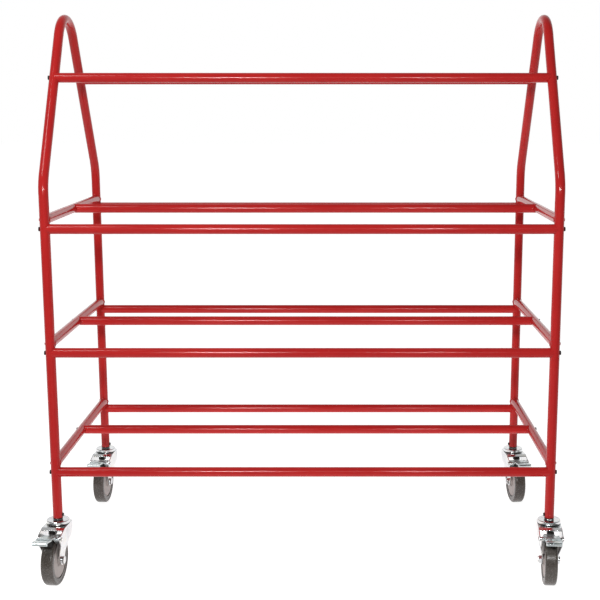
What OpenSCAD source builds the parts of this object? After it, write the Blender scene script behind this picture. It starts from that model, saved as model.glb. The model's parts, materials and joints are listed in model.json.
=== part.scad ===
// Mobile saddle rack: two bent-tube end frames joined by three levels of
// saddle rails and a pair of top rails, on four lockable swivel casters.
// +X is the long way, -Y is the front, +Z is up. The origin is on the floor,
// midway between the four legs.

/* [Frame] */
// Outside diameter of every frame tube
tube_d = 25; // [22:0.5:28]
// Wall thickness of the tubes
tube_wall = 1.5; // [1.2:0.1:2.5]
// Length between the left and right leg axes
frame_len = 1282; // [900:1:1600]
// Depth between the front and rear leg axes
frame_depth = 610; // [500:1:700]
// Height of the lower ends of the legs
leg_z = 166; // [166:1:172]
// Height at which the axes of leg and slope meet
shoulder_z = 1034; // [1000:1:1100]
// Lean of the sloping sides from upright
slope = 31.2; // [29:0.1:33]
// Axis radius of the shoulder bends
shoulder_r = 100; // [60:1:120]
// Axis radius of the bend over the top
top_r = 94; // [60:1:110]

/* [Rails] */
// Height of the lowest front and rear rail
level_z = 288.5; // [270:0.5:310]
// Height from one level to the next
level_step = 316; // [300:1:330]
// Rise of the middle rail and crossbar above the side rails
mid_rise = 23.3; // [22.5:0.1:30]
// Height of the two top rails
top_rail_z = 1294; // [1240:1:1320]

/* [Fixings] */
// Shank diameter of the rail screws
screw_d = 6; // [5:0.5:7]
// Head diameter of the rail screws
screw_head_d = 11; // [9:0.5:13]
// Height of the screw heads
screw_head_h = 3; // [2:0.5:4]
// Length of the threaded plug in a rail end
plug_len = 24; // [16:1:40]
// Diameter of a caster stem
stem_d = 12; // [10:1:14]
// Length of the stem inside the leg
stem_len = 32; // [24:1:45]

/* [Wheel] */
// Outside diameter of the tyre
wheel_d = 130; // [124:1:130]
// Width of the tyre
wheel_w = 32; // [26:1:33]
// Trail of the axle from the swivel axis
trail = 40; // [36:1:42]
// Diameter of the wheel's core
core_d = 92; // [80:1:96]
// Diameter of the axle
axle_d = 12; // [10:1:12]

/* [Caster] */
// Radius of the swivel head
head_r = 30.5; // [28:0.5:32]
// Sheet thickness of the fork
fork_t = 2.5; // [2:0.1:3]
// Height of the top of the fork's crown
crown_z = 151; // [150:0.5:152]
// Half width of the fork beside the wheel
fork_half = 21.3; // [21:0.1:22]
// Half width of the pedal's tread plate
pedal_half = 20; // [19.5:0.5:24]
// Distance of the pedal's front edge from the swivel axis
pedal_reach = 146; // [140:1:155]
// Angle that the pedal drops to lock the wheel
pedal_lift = 14; // [12:1:15]

/* [Stance] */
// Swivel of the front left caster
turn_fl = -5; // [-20:0.5:20]
// Swivel of the front right caster
turn_fr = -5; // [-20:0.5:20]
// Swivel of the rear left caster
turn_rl = -3.5; // [-20:0.5:20]
// Swivel of the rear right caster
turn_rr = 6; // [-20:0.5:20]

/* [Hidden] */
$fn = 48;
function round_to(x, step) = round(x / step) * step;
a = frame_len / 2;
b = frame_depth / 2;
tube_r = tube_d / 2;
bore_d = tube_d - 2 * tube_wall;
// overlap of a straight length with a bend, and the bend's extra diameter
join = 0.1;
swell = 0.2;
// the bends' centres are rounded to this
grid = 0.01;
// clearance of a coped tube end from the tube it meets
cope = 0.3;
// radial clearance of a running fit
run = 0.05;
// clearance between two bodies that pass each other
pass = 0.4;

// end frame
leg_top = round_to(shoulder_z - shoulder_r * tan(slope / 2), grid);
// the top bend's centre lies on the grid, and its radius makes up the difference
top_centre_z = leg_top + round_to((cos(slope) * (b - shoulder_r) + shoulder_r - top_r) / sin(slope), grid);
arch_r = cos(slope) * (b - shoulder_r) + shoulder_r - sin(slope) * (top_centre_z - leg_top);
slope_len = sin(slope) * (b - shoulder_r) + cos(slope) * (top_centre_z - leg_top);
top_rail_y = b - (top_rail_z - shoulder_z) * tan(slope);
levels = [for (i = [0 : 2]) level_z + i * level_step];

// fixings
screw_hole = screw_d + 0.6;
screw_len = tube_d + plug_len;
head_sink = 1;
plug_gap = 1;
socket_r = 2;
socket_depth = 1.8;
insert_flange = 3;
grub_z = leg_z + 7;
grub_head_d = screw_head_d - 2;

// wheel
wheel_r = wheel_d / 2;
hub_r = 14;
hub_half = 18;
core_half = 14;
shoulder = 6;
flange_chamfer = 2;
axle_head_r = 10;
axle_head_h = 5.5;
axle_nut_r = 10.5;
axle_nut_h = 6;
axle_end_r = 8;
axle_end_h = 3;
groove = 1.5;
side_step = 1.4;

// swivel head, from the crown upwards
ball_r = 2.2;
ball_ring_r = 22;
dish_z = crown_z + 2 * ball_r + pass;
dish_top = leg_z - 5;
dish_r = head_r - 0.6;
dish_bevel = 1.5;
skirt_t = 2.5;
skirt_gap = 1.6;
collar_r = tube_r - 1.5;
stem_end = 2;
nut_h = 8;
nut_r = 10;

// fork
flare_z0 = 84;
flare_z1 = 116;
boss_r = 13;
ear_r = 11;
crown_back = -24;
crown_front = 38;
crown_side = 15;
crown_corner = 4;
web_front = 52;
web_z = 147;

// brake pedal, drawn as [distance in front of the swivel axis, height]
pin_pos = [66, 131];
pin_d = 6;
pin_head_d = 11;
pin_head_h = 2;
cheek_half = 19.5;
cheek_r = 10;
cheek_lap = 0.5;
cheek_front = 98;
cheek_t = 2.5;
plate_back = 61;
plate_z = 139;
plate_front = 112;
plate_t = 2.5;
pad_back = 106;
pad_drop = 1.7;
pad_corner = 5;
rise = 11;
lip = 10;
lip_r = 1.6;
shoe_back = 71;
shoe_front = 88;
shoe_half = 11;
lock_gap = 0.6;

left = -1;
right = 1;
front = -1;
rear = 1;

// corner, swivel angle and side of each caster
corners = [[left, front, turn_fl], [right, front, turn_fr], [left, rear, turn_rl], [right, rear, turn_rr]];

CASTER_PARTS = ["head", "balls", "fork", "axle", "core", "tyre", "pin", "pedal", "shoe"];
CASTERS = ["front_left", "front_right", "rear_left", "rear_right"];

red = [0.72, 0.12, 0.12];
steel = [0.82, 0.84, 0.85];
dark = [0.2, 0.2, 0.2];

// ---- helpers ----

// a cylinder along X, centred
module bar_x(d, h) rotate([0, 90, 0]) cylinder(d = d, h = h, center = true);

// a cylinder along Y, centred
module bar_y(d, h) rotate([90, 0, 0]) cylinder(d = d, h = h, center = true);

// extrudes a [forward, up] outline sideways, centred on the caster's midplane
module sideways(w) rotate([90, 0, -90]) linear_extrude(w, center = true) children();

// extrudes a [sideways, up] outline forward from t0 to t1
module forward(t0, t1) translate([0, -t0, 0]) rotate([90, 0, 0]) linear_extrude(t1 - t0) children();

// ---- end frames ----

// the bent path of an end frame as a solid rod of diameter d: its straight lengths run a little way into
// its bends, which are drawn a hair thicker, so that all of them join into one solid
module hoop_rod(d, overrun = 0) rotate([90, 0, 90]) {
    for (m = [0, 1]) mirror([m, 0, 0]) {
        translate([b, leg_z - overrun, 0]) rotate([-90, 0, 0])
            cylinder(d = d, h = leg_top - leg_z + overrun + join);
        translate([b - shoulder_r, leg_top, 0]) {
            rotate_extrude(angle = slope) translate([shoulder_r, 0]) circle(d = d + swell);
            rotate([0, 0, slope]) translate([shoulder_r, -join, 0]) rotate([-90, 0, 0])
                cylinder(d = d, h = slope_len + 2 * join);
        }
    }
    translate([0, top_centre_z, 0]) rotate([0, 0, slope]) rotate_extrude(angle = 180 - 2 * slope)
        translate([arch_r, 0]) circle(d = d + swell);
}

// rods along the two sloping sides, carried past both ends
module slope_rods(d) rotate([90, 0, 90]) for (m = [0, 1]) mirror([m, 0, 0])
    translate([top_rail_y, top_rail_z, 0]) rotate([0, 0, slope]) rotate([90, 0, 0])
        cylinder(d = d, h = 4 * tube_d, center = true);

module hoop(side) color(red) translate([side * a, 0, 0]) difference() {
    hoop_rod(tube_d);
    hoop_rod(bore_d, 1);
    for (s = [front, rear]) {
        for (z = levels) translate([0, s * b, z]) bar_x(screw_hole, 2 * tube_d);
        translate([0, s * top_rail_y, top_rail_z]) bar_x(screw_hole, 2 * tube_d);
        translate([-side * tube_r, s * b, grub_z]) bar_x(screw_hole, tube_d);
    }
}

module crossbar(side, level) color(red) translate([side * a, 0, levels[level] + mid_rise]) difference() {
    bar_y(tube_d, frame_depth);
    bar_y(bore_d, frame_depth + tube_d);
    for (s = [front, rear]) translate([0, s * b, -tube_d])
        cylinder(d = tube_d + 2 * cope, h = 2 * tube_d);
    bar_x(screw_hole, 2 * tube_d);
}

// ---- rails ----

module rail_tube() difference() {
    bar_x(tube_d, frame_len);
    bar_x(bore_d, frame_len + tube_d);
}

module side_rail(s, level) color(red) difference() {
    translate([0, s * b, levels[level]]) rail_tube();
    for (x = [-a, a]) translate([x, s * b, levels[level] - tube_d])
        cylinder(d = tube_d + 2 * cope, h = 2 * tube_d);
}

module centre_rail(level) color(red) translate([0, 0, levels[level] + mid_rise]) difference() {
    rail_tube();
    for (x = [-a, a]) translate([x, 0, 0]) bar_y(tube_d + 2 * cope, 2 * tube_d);
}

module top_rail(s) color(red) difference() {
    translate([0, s * top_rail_y, top_rail_z]) rail_tube();
    for (x = [-a, a]) translate([x, 0, 0]) slope_rods(tube_d + 2 * cope);
}

// every rail end on one side frame, as [y, z]
rail_ends = concat(
    [for (s = [front, rear], z = levels) [s * b, z]],
    [for (z = levels) [0, z + mid_rise]],
    [for (s = [front, rear]) [s * top_rail_y, top_rail_z]]);

// a button head screw along X, pointing inwards, with its head on the tube
module rail_screw(side) {
    difference() {
        translate([side * (tube_r + screw_head_h / 2 - head_sink), 0, 0])
            bar_x(screw_head_d, screw_head_h + 2 * head_sink);
        bar_x(2 * screw_head_d, 2 * tube_r + cope);
        translate([side * (tube_r + screw_head_h), 0, 0]) rotate([0, 90, 0])
            cylinder(r = socket_r, h = 2 * socket_depth, center = true, $fn = 6);
    }
    translate([side * (tube_r - screw_len / 2), 0, 0]) bar_x(screw_d, screw_len);
}

module screws(side) color(dark) for (p = rail_ends) translate([side * a, p[0], p[1]]) rail_screw(side);

module rail_plugs() color(steel) for (side = [left, right], p = rail_ends)
    translate([side * (a - tube_r - plug_len / 2 - plug_gap), p[0], p[1]]) difference() {
        bar_x(bore_d - 2 * cope, plug_len);
        bar_x(screw_d, plug_len + 1);
    }

// ---- leg ends ----

module leg_inserts() color(dark) for (x = [-a, a], y = [-b, b]) translate([x, y, leg_z]) difference() {
    union() {
        translate([0, 0, -insert_flange]) cylinder(r = tube_r, h = insert_flange);
        cylinder(d = bore_d - 2 * cope, h = stem_len);
    }
    translate([0, 0, -insert_flange - 1]) cylinder(d = stem_d, h = stem_len + insert_flange + 2);
    translate([x < 0 ? tube_r : -tube_r, 0, grub_z - leg_z]) bar_x(screw_d, tube_d);
}

module leg_screws() color(dark) for (x = [-a, a], y = [-b, b]) translate([x, y, grub_z]) {
    s = x < 0 ? 1 : -1;
    difference() {
        translate([s * (tube_r + screw_head_h / 2 - head_sink), 0, 0])
            bar_x(grub_head_d, screw_head_h + 2 * head_sink);
        translate([0, 0, -tube_d]) cylinder(r = tube_r + cope / 2, h = 2 * tube_d);
    }
    translate([s * (tube_r + stem_d / 2) / 2, 0, 0]) bar_x(screw_d, tube_r - stem_d / 2);
}

// ---- casters ----

// moves a caster part from its own swivel axis to its corner
module at_corner(i) translate([corners[i][0] * a, corners[i][1] * b, 0]) rotate([0, 0, corners[i][2]])
    children();

// along the wheel's axle
module on_axle() translate([0, -trail, wheel_r]) rotate([0, 90, 0]) children();

// swivel head: a disc with a turned-down skirt, a hexagonal collar, the stem and the rivet under the crown
module head() color(steel) {
    rivet_z = crown_z - fork_t - nut_h;
    rotate_extrude() polygon([
        [0, dish_z], [dish_r - 2 * skirt_t, dish_z], [dish_r - skirt_t, crown_z + skirt_gap],
        [dish_r, crown_z + skirt_gap], [dish_r, dish_top - dish_bevel], [dish_r - dish_bevel, dish_top],
        [0, dish_top]]);
    translate([0, 0, dish_top - join])
        cylinder(r = collar_r, h = leg_z - insert_flange - dish_top + join, $fn = 6);
    translate([0, 0, rivet_z]) cylinder(d = stem_d, h = leg_z + stem_len - stem_end - rivet_z);
    translate([0, 0, rivet_z]) cylinder(r = nut_r, h = nut_h - pass, $fn = 6);
}

module balls() color(dark) translate([0, 0, crown_z + ball_r]) rotate_extrude()
    translate([ball_ring_r, 0]) circle(r = ball_r);

// [forward, up] outline of a fork side
module fork_outline() hull() {
    translate([trail, wheel_r]) circle(boss_r);
    translate(pin_pos) circle(ear_r);
    translate([crown_back, crown_z - crown_side]) square([crown_front - crown_back, crown_side]);
}

// [sideways, up] section of both fork sides, flared round the swivel head
module fork_section() for (m = [0, 1]) mirror([m, 0]) polygon([
    [fork_half, 0], [fork_half, flare_z0], [head_r, flare_z1], [head_r, crown_z],
    [head_r - fork_t, crown_z], [head_r - fork_t, flare_z1], [fork_half - fork_t, flare_z0],
    [fork_half - fork_t, 0]]);

module fork() color(steel) difference() {
    union() {
        translate([0, 0, crown_z - fork_t]) linear_extrude(fork_t) hull() {
            circle(head_r);
            for (x = [-1, 1], t = [crown_front - crown_corner, crown_back + crown_corner])
                translate([x * (head_r - crown_corner), -t]) circle(crown_corner);
        }
        sideways(2 * head_r - fork_t) hull() {
            translate([crown_front - crown_corner, crown_z - fork_t]) square([crown_corner - join, fork_t]);
            translate([web_front - fork_t, web_z]) circle(d = fork_t);
        }
        intersection() {
            forward(-2 * head_r, pedal_reach) fork_section();
            sideways(4 * head_r) fork_outline();
        }
    }
    translate([0, 0, crown_z - 2 * fork_t]) cylinder(d = stem_d + 2 * run, h = 4 * fork_t);
    on_axle() cylinder(d = axle_d, h = 4 * head_r, center = true);
    translate([0, -pin_pos[0], pin_pos[1]]) bar_x(pin_d, 4 * head_r);
}

module axle() color(steel) on_axle() {
    translate([0, 0, -fork_half - axle_nut_h - axle_end_h])
        cylinder(d = axle_d, h = 2 * fork_half + axle_nut_h + axle_end_h + join);
    translate([0, 0, fork_half]) cylinder(r = axle_head_r, h = axle_head_h);
    translate([0, 0, -fork_half - axle_nut_h]) cylinder(r = axle_nut_r, h = axle_nut_h, $fn = 6);
    translate([0, 0, -fork_half - axle_nut_h - axle_end_h]) cylinder(r = axle_end_r, h = axle_end_h + join);
}

// one side of the core's [radius, sideways] profile, from its bore outwards
core_side = [[axle_d / 2 + run, hub_half], [hub_r, hub_half], [hub_r, core_half - flange_chamfer],
    [hub_r + 2 * flange_chamfer, core_half], [core_d / 2 - flange_chamfer, core_half],
    [core_d / 2, core_half - flange_chamfer]];

module core() color([0.62, 0.58, 0.56]) on_axle() rotate_extrude()
    polygon(concat(core_side, [for (k = [len(core_side) - 1 : -1 : 0]) [core_side[k][0], -core_side[k][1]]]));

module tyre() color([0.36, 0.34, 0.32]) on_axle() rotate_extrude() difference() {
    union() {
        hull() for (s = [-1, 1]) translate([wheel_r - shoulder, s * (wheel_w / 2 - shoulder)]) circle(shoulder);
        translate([core_d / 2, flange_chamfer - core_half])
            square([wheel_r - shoulder - core_d / 2, 2 * (core_half - flange_chamfer)]);
        translate([core_d / 2 + groove, -wheel_w / 2 + side_step])
            square([wheel_r - shoulder - core_d / 2 - groove, wheel_w - 2 * side_step]);
    }
    translate([0, -wheel_w]) square([core_d / 2, 2 * wheel_w]);
}

module pin() color(steel) translate([0, -pin_pos[0], pin_pos[1]]) {
    bar_x(pin_d, 2 * head_r + pin_head_h);
    for (s = [-1, 1]) {
        translate([s * (head_r + pin_head_h / 2), 0, 0]) bar_x(pin_head_d, pin_head_h);
        translate([s * (cheek_half + head_r - fork_t) / 2, 0, 0])
            bar_x(pin_head_d, head_r - fork_t - cheek_half - 2 * pass);
    }
}

// turns a shape about the brake pin, positive lifts the pedal
module about_pin(angle) translate([0, -pin_pos[0], pin_pos[1]]) rotate([-angle, 0, 0])
    translate([0, pin_pos[0], -pin_pos[1]]) children();

// [forward, up] outline of a sloping sheet from t0 to t1
module sheet(t0, t1, drop, thick) polygon([
    for (t = [t0, t1]) [t, plate_z + (t - plate_back) * tan(rise) - drop],
    for (t = [t1, t0]) [t, plate_z + (t - plate_back) * tan(rise) - drop - thick]]);

lip_z = plate_z + (pedal_reach - plate_back) * tan(rise);

// [forward, up] outline of the rolled front edge of the pedal
module rolled_lip() hull() {
    translate([pedal_reach - 2 * lip_r, lip_z - 2 * plate_t]) circle(lip_r);
    for (z = [lip_z - 2 * plate_t - lip_r, lip_z - lip]) translate([pedal_reach - lip_r, z]) circle(lip_r);
    translate([pedal_reach - 2 * lip_r, lip_z - lip]) circle(lip_r);
}

module pedal() color(steel) difference() {
    union() {
        sideways(2 * cheek_half) sheet(plate_back, plate_front, 0, plate_t);
        intersection() {
            sideways(2 * pedal_half) {
                sheet(pad_back, pedal_reach - 2 * lip_r, pad_drop, plate_t);
                rolled_lip();
            }
            translate([0, 0, plate_z - 2 * lip]) linear_extrude(6 * lip) offset(pad_corner) offset(-pad_corner)
                translate([-pedal_half, -pedal_reach]) square([2 * pedal_half, pedal_reach - pad_back]);
        }
        intersection() {
            sideways(2 * cheek_half) hull() {
                translate(pin_pos) circle(cheek_r);
                sheet(plate_back, plate_back + plate_t, cheek_lap, plate_t);
                sheet(cheek_front - plate_t, cheek_front, cheek_lap, plate_t);
            }
            forward(pin_pos[0] - 2 * cheek_r, plate_front) for (m = [0, 1]) mirror([m, 0])
                translate([cheek_half - cheek_t, 0]) square([cheek_t, 2 * plate_z]);
        }
    }
    translate([0, -pin_pos[0], pin_pos[1]]) bar_x(pin_d + 2 * run, 4 * head_r);
}

// the shoe's face follows the tyre when the pedal is pressed down
module shoe() color(dark) difference() {
    sideways(2 * shoe_half) polygon([
        [shoe_back, wheel_r], [shoe_front, wheel_r],
        for (t = [shoe_front, shoe_back]) [t, plate_z + (t - plate_back) * tan(rise) - plate_t]]);
    about_pin(pedal_lift) on_axle() cylinder(r = wheel_r + lock_gap, h = 2 * wheel_w, center = true);
    about_pin(pedal_lift) sideways(4 * shoe_half) square([2 * pedal_reach, 1.5 * wheel_r]);
}

module caster_part(i, part) at_corner(i) {
    if (part == "head") head();
    if (part == "balls") balls();
    if (part == "fork") fork();
    if (part == "axle") axle();
    if (part == "core") core();
    if (part == "tyre") tyre();
    if (part == "pin") pin();
    if (part == "pedal") pedal();
    if (part == "shoe") shoe();
}

hoop(left);  // hoop_left
hoop(right);  // hoop_right
crossbar(left, 0);  // crossbar_left_lower
crossbar(left, 1);  // crossbar_left_middle
crossbar(left, 2);  // crossbar_left_upper
crossbar(right, 0);  // crossbar_right_lower
crossbar(right, 1);  // crossbar_right_middle
crossbar(right, 2);  // crossbar_right_upper
side_rail(front, 0);  // rail_lower_front
centre_rail(0);  // rail_lower_centre
side_rail(rear, 0);  // rail_lower_rear
side_rail(front, 1);  // rail_middle_front
centre_rail(1);  // rail_middle_centre
side_rail(rear, 1);  // rail_middle_rear
side_rail(front, 2);  // rail_upper_front
centre_rail(2);  // rail_upper_centre
side_rail(rear, 2);  // rail_upper_rear
top_rail(front);  // rail_top_front
top_rail(rear);  // rail_top_rear
screws(left);  // screws_left
screws(right);  // screws_right
rail_plugs();
leg_inserts();
leg_screws();
for (i = [0 : 3], part = CASTER_PARTS)
    caster_part(i, part);
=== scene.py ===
"""Looks of the mobile saddle rack: materials, small fittings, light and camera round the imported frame."""
import json
import math

import bmesh
import bpy
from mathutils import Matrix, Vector

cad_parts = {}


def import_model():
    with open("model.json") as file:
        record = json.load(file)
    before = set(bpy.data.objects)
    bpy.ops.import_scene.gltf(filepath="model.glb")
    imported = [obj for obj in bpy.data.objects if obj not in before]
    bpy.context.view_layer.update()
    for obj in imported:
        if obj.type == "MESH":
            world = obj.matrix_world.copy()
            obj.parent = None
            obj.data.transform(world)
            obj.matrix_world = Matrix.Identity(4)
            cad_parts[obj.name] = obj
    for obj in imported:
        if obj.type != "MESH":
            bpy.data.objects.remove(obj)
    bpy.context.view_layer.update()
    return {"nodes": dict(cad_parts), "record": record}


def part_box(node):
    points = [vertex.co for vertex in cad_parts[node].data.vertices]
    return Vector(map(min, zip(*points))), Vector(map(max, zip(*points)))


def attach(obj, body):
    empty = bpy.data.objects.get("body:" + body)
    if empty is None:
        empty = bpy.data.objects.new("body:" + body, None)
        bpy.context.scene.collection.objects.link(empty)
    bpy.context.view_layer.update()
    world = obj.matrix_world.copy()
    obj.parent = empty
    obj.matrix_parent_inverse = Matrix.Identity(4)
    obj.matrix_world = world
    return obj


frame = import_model()
NODES = frame["nodes"]
JOINTS = {j["name"]: j for j in frame["record"]["behaviour"]["joints"]}

CASTERS = ("front_left", "front_right", "rear_left", "rear_right")
SIDES = ("left", "right")
LEVELS = ("lower", "middle", "upper")
MM = 0.001
TUBE_R = 12.5 * MM
WELD_R = 1.9 * MM
WELD_POINTS = 72
WELD_SEGMENTS = 8
WELD_PROUD = 1.01
WELD_RIPPLE = 0.25
RIPPLE_STEP = math.pi / 3.0
# size and place of the dark blocks that stand in for the shade in each fork's slot (painted shade)
SHADE_BLOCK_DROP = 4.2 * MM
SHADE_BLOCK_HALF = 9 * MM
RIB_HALF = 8.2 * MM
RIBS = 3
FLOOR_HALF = 30.0
FLOOR_SEEN = 0.88
SKY_SEEN = 1.0
CAMERA_TILT = math.radians(10.0)

# ---------------------------------------------------------------- node helpers


def new_material(name):
    """A material with one Principled shader; its node tree and the shader come with it."""
    m = bpy.data.materials.new(name)
    m.use_nodes = True
    nt = m.node_tree
    nt.nodes.clear()
    out = nt.nodes.new("ShaderNodeOutputMaterial")
    bsdf = nt.nodes.new("ShaderNodeBsdfPrincipled")
    nt.links.new(bsdf.outputs[0], out.inputs[0])
    return m, nt, bsdf


def add(nt, kind, inputs=None):
    """A new node whose inputs are linked to sockets or set to values."""
    n = nt.nodes.new(kind)
    for k, v in (inputs or {}).items():
        if isinstance(v, bpy.types.NodeSocket):
            nt.links.new(v, n.inputs[k])
        else:
            n.inputs[k].default_value = v
    return n


def noise(nt, scale, detail=3.0, rough=0.5, stretch=None):
    """Noise in the object's own metres; stretch scales the three axes."""
    vector = add(nt, "ShaderNodeTexCoord").outputs["Object"]
    if stretch is not None:
        vector = add(nt, "ShaderNodeMapping", {"Vector": vector, "Scale": stretch}).outputs[0]
    return add(nt, "ShaderNodeTexNoise", {"Vector": vector, "Scale": scale, "Detail": detail,
                                          "Roughness": rough}).outputs["Fac"]


def ramp(nt, fac, stops):
    """Colour along fac through (position, colour) stops."""
    r = add(nt, "ShaderNodeValToRGB", {"Fac": fac})
    e = r.color_ramp.elements
    while len(e) > 1:
        e.remove(e[-1])
    e[0].position, e[0].color = stops[0][0], stops[0][1]
    for p, c in stops[1:]:
        e.new(p).color = c
    return r.outputs["Color"]


def spread(nt, fac, low, high, lo=0.3, hi=0.7):
    """fac from lo..hi remapped to low..high."""
    return add(nt, "ShaderNodeMapRange", {"Value": fac, "From Min": lo, "From Max": hi,
                                          "To Min": low, "To Max": high}).outputs[0]


def mix(nt, fac, a, b):
    n = nt.nodes.new("ShaderNodeMix")
    n.data_type = "RGBA"
    for socket, value in ((n.inputs[0], fac), (n.inputs[6], a), (n.inputs[7], b)):
        if isinstance(value, bpy.types.NodeSocket):
            nt.links.new(value, socket)
        else:
            socket.default_value = value
    return n.outputs[2]


def math_node(nt, op, a, b):
    n = nt.nodes.new("ShaderNodeMath")
    n.operation = op
    for i, value in enumerate((a, b)):
        if isinstance(value, bpy.types.NodeSocket):
            nt.links.new(value, n.inputs[i])
        else:
            n.inputs[i].default_value = value
    return n.outputs[0]


def bump(nt, height, distance, strength=1.0, normal=None):
    ins = {"Height": height, "Distance": distance, "Strength": strength}
    if normal is not None:
        ins["Normal"] = normal
    return add(nt, "ShaderNodeBump", ins).outputs[0]


# ---------------------------------------------------------------- materials


def red_paint():
    m, nt, b = new_material("red_powder_coat")
    cloud = noise(nt, 6.0, 4.0)
    fine = noise(nt, 90.0, 3.0)
    colour = ramp(nt, cloud, [(0.25, (0.46, 0.017, 0.018, 1)), (0.5, (0.50, 0.021, 0.020, 1)),
                              (0.75, (0.54, 0.026, 0.024, 1))])
    colour = mix(nt, spread(nt, fine, 0.0, 0.14, 0.45, 0.75), colour, (0.38, 0.012, 0.014, 1))
    scuff = noise(nt, 35.0, 6.0, 0.7)
    scuff_mask = spread(nt, scuff, 0.0, 0.35, 0.66, 0.72)
    colour = mix(nt, scuff_mask, colour, (0.60, 0.05, 0.045, 1))
    nt.links.new(colour, b.inputs["Base Color"])
    rough = spread(nt, noise(nt, 14.0, 5.0), 0.11, 0.19)
    rough = math_node(nt, "ADD", rough, math_node(nt, "MULTIPLY", scuff_mask, 0.4))
    nt.links.new(rough, b.inputs["Roughness"])
    peel = noise(nt, 420.0, 2.0)
    nt.links.new(bump(nt, peel, 0.00012, 0.4), b.inputs["Normal"])
    b.inputs["Specular IOR Level"].default_value = 0.22
    return m


def zinc(name, tint, rough_low, rough_high):
    m, nt, b = new_material(name)
    cloud = noise(nt, 45.0, 4.0)
    t = Vector(tint)
    colour = ramp(nt, cloud, [(0.3, (*(t * 0.82), 1)), (0.5, (*t, 1)),
                              (0.72, (t.x * 1.03, t.y * 0.99, t.z * 0.90, 1))])
    streak = noise(nt, 260.0, 3.0, stretch=(1.0, 1.0, 0.12))
    colour = mix(nt, spread(nt, streak, 0.0, 0.25), colour, (*(t * 0.62), 1))
    nt.links.new(colour, b.inputs["Base Color"])
    b.inputs["Metallic"].default_value = 1.0
    nt.links.new(spread(nt, noise(nt, 120.0, 5.0, 0.65), rough_low, rough_high), b.inputs["Roughness"])
    nt.links.new(bump(nt, streak, 0.00008, 0.5), b.inputs["Normal"])
    return m


def black_steel():
    m, nt, b = new_material("black_oxide")
    cloud = noise(nt, 160.0, 4.0)
    colour = ramp(nt, cloud, [(0.3, (0.018, 0.014, 0.013, 1)), (0.7, (0.055, 0.045, 0.042, 1))])
    nt.links.new(colour, b.inputs["Base Color"])
    b.inputs["Metallic"].default_value = 0.6
    nt.links.new(spread(nt, noise(nt, 300.0, 3.0), 0.3, 0.55), b.inputs["Roughness"])
    nt.links.new(bump(nt, noise(nt, 500.0, 2.0), 0.0001, 0.5), b.inputs["Normal"])
    return m


def grey_plastic():
    m, nt, b = new_material("wheel_core_plastic")
    cloud = noise(nt, 60.0, 4.0)
    colour = ramp(nt, cloud, [(0.3, (0.36, 0.315, 0.30, 1)), (0.55, (0.42, 0.375, 0.355, 1)),
                              (0.75, (0.47, 0.43, 0.41, 1))])
    dust = noise(nt, 380.0, 4.0, 0.7)
    colour = mix(nt, spread(nt, dust, 0.0, 0.35, 0.5, 0.75), colour, (0.24, 0.21, 0.19, 1))
    nt.links.new(colour, b.inputs["Base Color"])
    nt.links.new(spread(nt, cloud, 0.42, 0.6), b.inputs["Roughness"])
    nt.links.new(bump(nt, noise(nt, 900.0, 2.0), 0.0001, 0.5), b.inputs["Normal"])
    return m


def grey_rubber():
    m, nt, b = new_material("grey_rubber")
    cloud = noise(nt, 30.0, 5.0)
    colour = ramp(nt, cloud, [(0.3, (0.052, 0.043, 0.037, 1)), (0.55, (0.072, 0.061, 0.053, 1)),
                              (0.78, (0.098, 0.086, 0.077, 1))])
    dust = noise(nt, 240.0, 5.0, 0.75)
    colour = mix(nt, spread(nt, dust, 0.0, 0.5, 0.52, 0.74), colour, (0.20, 0.18, 0.16, 1))
    nt.links.new(colour, b.inputs["Base Color"])
    nt.links.new(spread(nt, dust, 0.16, 0.34), b.inputs["Roughness"])
    grain = bump(nt, noise(nt, 700.0, 3.0), 0.00015, 0.6)
    nt.links.new(bump(nt, noise(nt, 60.0, 3.0), 0.0003, 0.4, grain), b.inputs["Normal"])
    return m


def black_rubber():
    m, nt, b = new_material("brake_rubber")
    cloud = noise(nt, 120.0, 4.0)
    colour = ramp(nt, cloud, [(0.3, (0.006, 0.006, 0.006, 1)), (0.7, (0.018, 0.017, 0.016, 1))])
    nt.links.new(colour, b.inputs["Base Color"])
    nt.links.new(spread(nt, cloud, 0.55, 0.8), b.inputs["Roughness"])
    nt.links.new(bump(nt, noise(nt, 800.0, 2.0), 0.00012, 0.6), b.inputs["Normal"])
    return m


MATERIALS = {
    "red_paint": red_paint(),
    "zinc": zinc("zinc_plate", (0.80, 0.815, 0.83), 0.10, 0.28),
    "black_steel": black_steel(),
    "grey_plastic": grey_plastic(),
    "grey_rubber": grey_rubber(),
    "black_rubber": black_rubber(),
}

# the pedals are bluer and duller than the rest of the zinc
BLUE_ZINC = zinc("blue_zinc", (0.68, 0.745, 0.755), 0.22, 0.40)

for sub in frame["record"]["subparts"]:
    obj = NODES[sub["node"]]
    is_pedal = sub["node"].endswith("_pedal")
    obj.data.materials.clear()
    obj.data.materials.append(BLUE_ZINC if is_pedal else MATERIALS[sub["material_slot"]])

# ---------------------------------------------------------------- pieces


def mesh_piece(name, bm, slot, body, smooth=True):
    """An object from the bmesh, in the slot's material, riding on the body."""
    me = bpy.data.meshes.new(name)
    bmesh.ops.recalc_face_normals(bm, faces=bm.faces)
    bm.to_mesh(me)
    bm.free()
    for p in me.polygons:
        p.use_smooth = smooth
    ob = bpy.data.objects.new(name, me)
    bpy.context.scene.collection.objects.link(ob)
    me.materials.append(MATERIALS[slot])
    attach(ob, body)


def join_rings(bm, rings):
    """Faces between each ring of vertices and the next."""
    for r0, r1 in zip(rings, rings[1:]):
        n = len(r0)
        for k in range(n):
            bm.faces.new((r0[k], r0[(k + 1) % n], r1[(k + 1) % n], r1[k]))


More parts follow.
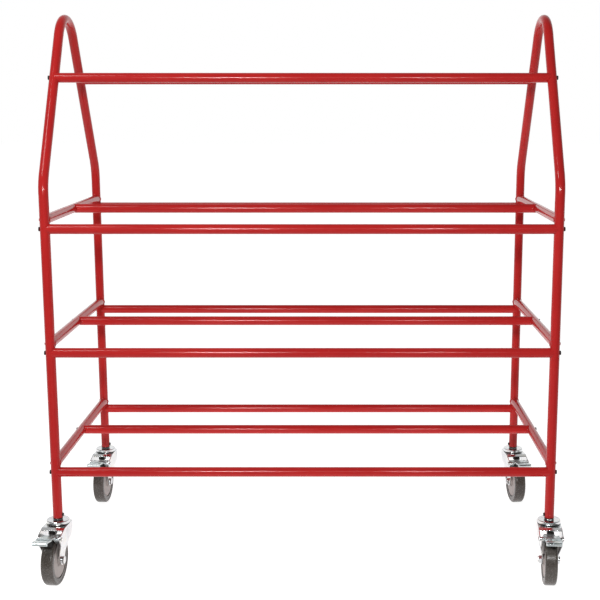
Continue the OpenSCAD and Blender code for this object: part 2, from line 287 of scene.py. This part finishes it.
def bead(bm, points):
    """A closed weld bead of rippled thickness through the points."""
    rings = []
    n = len(points)
    for i, p in enumerate(points):
        tangent = (points[(i + 1) % n] - points[i - 1]).normalized()
        side = tangent.orthogonal().normalized()
        up = tangent.cross(side)
        if rings:
            # keep the ring's start next to the one before it
            last = (rings[-1][0].co - points[i - 1]).normalized()
            side = (last - tangent * last.dot(tangent)).normalized()
            up = tangent.cross(side)
        r = WELD_R * (1.0 + WELD_RIPPLE * abs(math.sin(i * RIPPLE_STEP)) - WELD_RIPPLE * 0.5)
        rings.append([bm.verts.new(p + r * (math.cos(t) * side + math.sin(t) * up))
                      for t in (2 * math.pi * k / WELD_SEGMENTS for k in range(WELD_SEGMENTS))])
    first, final = rings[0], rings[-1]
    shift = min(range(WELD_SEGMENTS), key=lambda s: (first[s].co - final[0].co).length)
    rings.append([first[(k + shift) % WELD_SEGMENTS] for k in range(WELD_SEGMENTS)])
    join_rings(bm, rings)


def weld_beads():
    """One bead round each end of each crossbar, on the leg's own curve."""
    for side in SIDES:
        for level in LEVELS:
            lo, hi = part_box(f"crossbar_{side}_{level}")
            x0, z0 = (lo.x + hi.x) / 2, (lo.z + hi.z) / 2
            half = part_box(f"hoop_{side}")[1].y - TUBE_R
            for s, end in ((-1, "front"), (1, "rear")):
                points = []
                for k in range(WELD_POINTS):
                    t = 2 * math.pi * k / WELD_POINTS
                    dx = TUBE_R * math.cos(t)
                    depth = math.sqrt(max(TUBE_R ** 2 - dx ** 2, 0.0))
                    points.append(Vector((x0 + dx * WELD_PROUD, s * (half - depth),
                                          z0 + TUBE_R * WELD_PROUD * math.sin(t))))
                bm = bmesh.new()
                bead(bm, points)
                mesh_piece(f"weld_{side}_{level}_{end}", bm, "red_paint", "rack")


def caster_frame(name):
    """Swivel axis of a caster at rest and its forward direction, from the joints."""
    axis, hub = (Vector(JOINTS[name + end]["pos_m"][:2] + [0.0]) for end in ("_swivel", "_wheel_spin"))
    forward = (hub - axis).normalized()
    return axis, forward, Vector((-forward.y, forward.x, 0.0))


def outline_prism(bm, outline, half, place, chamfer=0.6 * MM):
    """A prism between two copies of an outline, its long edges chamfered."""
    rings = []
    centre = sum((Vector(p) for p in outline), Vector((0, 0))) / len(outline)
    for side, inset in ((-half, chamfer), (-half + chamfer, 0.0), (half - chamfer, 0.0), (half, chamfer)):
        ring = []
        for p in outline:
            q = Vector(p)
            q -= (q - centre).normalized() * inset
            ring.append(bm.verts.new(place(q.x, side, q.y)))
        rings.append(ring)
    join_rings(bm, rings)
    bm.faces.new(rings[0])
    bm.faces.new(rings[-1])


def shade_blocks():
    """A dark ribbed block under the crown of each fork, which is painted shade: a dark piece put where the
    fork's slot shows only shadow.
    """
    for name in CASTERS:
        axis, forward, across = caster_frame(name)
        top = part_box(name + "_fork")[1].z - SHADE_BLOCK_DROP

        def place(t, side, z):
            return axis + forward * t + across * side + Vector((0, 0, z))

        bm = bmesh.new()
        block = [(34 * MM, top - 11 * MM), (50 * MM, top - 10 * MM), (51.5 * MM, top - 8 * MM),
                 (50 * MM, top - 3 * MM), (46 * MM, top - 1 * MM), (34 * MM, top - 1 * MM)]
        outline_prism(bm, block, SHADE_BLOCK_HALF, place)
        for k in range(RIBS):
            z = top - (9 - 2.6 * k) * MM
            rib = [(50 * MM, z - 0.5 * MM), (52.3 * MM, z - 0.4 * MM),
                   (52.5 * MM, z + 0.4 * MM), (50 * MM, z + 0.6 * MM)]
            outline_prism(bm, rib, RIB_HALF, place, 0.2 * MM)
        mesh_piece("shade_block_" + name, bm, "black_steel", name + "_swivel", smooth=False)


weld_beads()
shade_blocks()

# ---------------------------------------------------------------- stage, light, camera


def look_at(obj, target):
    obj.rotation_euler = (Vector(target) - obj.location).to_track_quat("-Z", "Y").to_euler()


def area_light(name, location, target, width, height, power):
    """A rectangular soft box at location, turned towards target."""
    d = bpy.data.lights.new(name, "AREA")
    d.shape = "RECTANGLE"
    d.size = width
    d.size_y = height
    d.energy = power
    ob = bpy.data.objects.new(name, d)
    bpy.context.scene.collection.objects.link(ob)
    ob.location = location
    look_at(ob, target)


def grey(nt, value):
    return add(nt, "ShaderNodeCombineColor", {0: value, 1: value, 2: value}).outputs[0]


def blend_seen(nt, light, seen):
    """The value that lights the scene, or the plain one where the studio itself is seen."""
    direct = add(nt, "ShaderNodeLightPath").outputs["Is Camera Ray"]
    return add(nt, "ShaderNodeMapRange", {"Value": direct, "To Min": light, "To Max": seen}).outputs[0]


def stage():
    """A pale floor, darker in front, seen as white so that it meets the sky without an edge."""
    m, nt, b = new_material("pale_floor")
    where = add(nt, "ShaderNodeTexCoord").outputs["Object"]
    depth = add(nt, "ShaderNodeSeparateXYZ", {0: where}).outputs["Y"]
    tone = math_node(nt, "MULTIPLY", spread(nt, noise(nt, 2.0, 3.0), 0.97, 1.0),
                     spread(nt, depth, 0.42, 0.64, -1.1, -0.45))
    nt.links.new(grey(nt, tone), b.inputs["Base Color"])
    b.inputs["Roughness"].default_value = 0.9
    b.inputs["Specular IOR Level"].default_value = 0.0
    b.inputs["Emission Color"].default_value = (1, 1, 1, 1)
    glow = math_node(nt, "ADD", spread(nt, depth, 0.0, 0.75, -1.0, -0.45),
                     spread(nt, depth, 0.0, 0.13, 0.0, 1.5))
    nt.links.new(blend_seen(nt, glow, FLOOR_SEEN), b.inputs["Emission Strength"])
    me = bpy.data.meshes.new("floor")
    corners = [(x * FLOOR_HALF, y * FLOOR_HALF, 0) for x, y in ((-1, -1), (1, -1), (1, 1), (-1, 1))]
    me.from_pydata(corners, [], [(0, 1, 2, 3)])
    me.materials.append(m)
    ob = bpy.data.objects.new("floor", me)
    bpy.context.scene.collection.objects.link(ob)


def world():
    """A pale sky, dimmer in front of the rack and overhead, which gives the tubes their dark sides."""
    w = bpy.data.worlds.new("studio")
    bpy.context.scene.world = w
    w.use_nodes = True
    nt = w.node_tree
    bg = nt.nodes["Background"]
    d = add(nt, "ShaderNodeTexCoord").outputs["Generated"]
    y = add(nt, "ShaderNodeSeparateXYZ", {0: d}).outputs["Y"]
    z = add(nt, "ShaderNodeSeparateXYZ", {0: d}).outputs["Z"]
    v = spread(nt, y, 0.14, 1.04, 0.0, 0.85)
    v = math_node(nt, "MULTIPLY", v, spread(nt, z, 1.0, 0.45, 0.25, 0.9))
    v = blend_seen(nt, v, SKY_SEEN)
    nt.links.new(grey(nt, v), bg.inputs["Color"])
    bg.inputs["Strength"].default_value = 1.0


def camera():
    """The view from the front, tilted down, with a small shift for the framing."""
    d = bpy.data.cameras.new("camera")
    d.lens = 67.1
    d.sensor_width = 36.0
    d.shift_x = -0.0621
    d.shift_y = -0.0018
    d.clip_end = 100.0
    ob = bpy.data.objects.new("camera", d)
    bpy.context.scene.collection.objects.link(ob)
    ob.location = (0.088, -3.0817, 1.2333)
    ob.rotation_euler = (math.pi / 2 - CAMERA_TILT, 0, 0)
    bpy.context.scene.camera = ob


stage()
world()
camera()
area_light("key_left", (-0.45, -2.84, 1.52), (0, 0, 1.35), 0.34, 0.26, 32.5)
area_light("key_right", (0.52, -2.84, 1.52), (0, 0, 1.35), 0.20, 0.20, 13.5)
area_light("soft_top_left", (-1.4, -1.5, 2.9), (-0.45, -0.1, 1.1), 0.9, 0.7, 24.0)
bpy.context.scene.view_settings.view_transform = "Standard"
